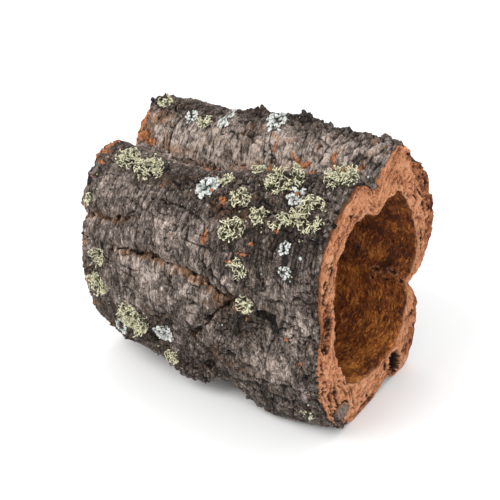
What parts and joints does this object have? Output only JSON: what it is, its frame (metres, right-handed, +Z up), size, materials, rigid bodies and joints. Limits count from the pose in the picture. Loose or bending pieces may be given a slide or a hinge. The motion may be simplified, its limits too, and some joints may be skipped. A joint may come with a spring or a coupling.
{
  "type": "cork bark tube",
  "caption": "Short hollow length of virgin cork bark lying on its side, with a furrowed outside, sawn ends and tufts of lichen.",
  "frame": {"origin": "on the ground under the middle of the whole part's box", "axes": "+X along the hollow, towards the sawn end that shows best; +Y to the side away from the viewer; +Z up"},
  "size_m": [0.1625, 0.1424, 0.164],
  "materials": {
    "bark": "matte",
    "shrubby_lichen": "matte",
    "leafy_lichen": "matte"
  },
  "bodies": {
    "root": {"bark": "bark", "leafy_lichen_01": "leafy_lichen", "leafy_lichen_02": "leafy_lichen", "leafy_lichen_03": "leafy_lichen", "leafy_lichen_04": "leafy_lichen", "leafy_lichen_05": "leafy_lichen", "leafy_lichen_06": "leafy_lichen", "leafy_lichen_07": "leafy_lichen", "leafy_lichen_08": "leafy_lichen", "leafy_lichen_09": "leafy_lichen", "leafy_lichen_10": "leafy_lichen", "leafy_lichen_11": "leafy_lichen", "leafy_lichen_12": "leafy_lichen", "shrubby_lichen_01": "shrubby_lichen", "shrubby_lichen_02": "shrubby_lichen", "shrubby_lichen_03": "shrubby_lichen", "shrubby_lichen_04": "shrubby_lichen", "shrubby_lichen_05": "shrubby_lichen", "shrubby_lichen_06": "shrubby_lichen", "shrubby_lichen_07": "shrubby_lichen", "shrubby_lichen_08": "shrubby_lichen", "shrubby_lichen_09": "shrubby_lichen", "shrubby_lichen_10": "shrubby_lichen", "shrubby_lichen_11": "shrubby_lichen", "shrubby_lichen_12": "shrubby_lichen", "shrubby_lichen_13": "shrubby_lichen", "shrubby_lichen_14": "shrubby_lichen", "shrubby_lichen_15": "shrubby_lichen", "shrubby_lichen_16": "shrubby_lichen", "shrubby_lichen_17": "shrubby_lichen", "shrubby_lichen_18": "shrubby_lichen", "shrubby_lichen_19": "shrubby_lichen", "shrubby_lichen_20": "shrubby_lichen", "shrubby_lichen_21": "shrubby_lichen", "shrubby_lichen_22": "shrubby_lichen", "shrubby_lichen_23": "shrubby_lichen", "shrubby_lichen_24": "shrubby_lichen", "shrubby_lichen_25": "shrubby_lichen"}
  },
  "joints": []
}
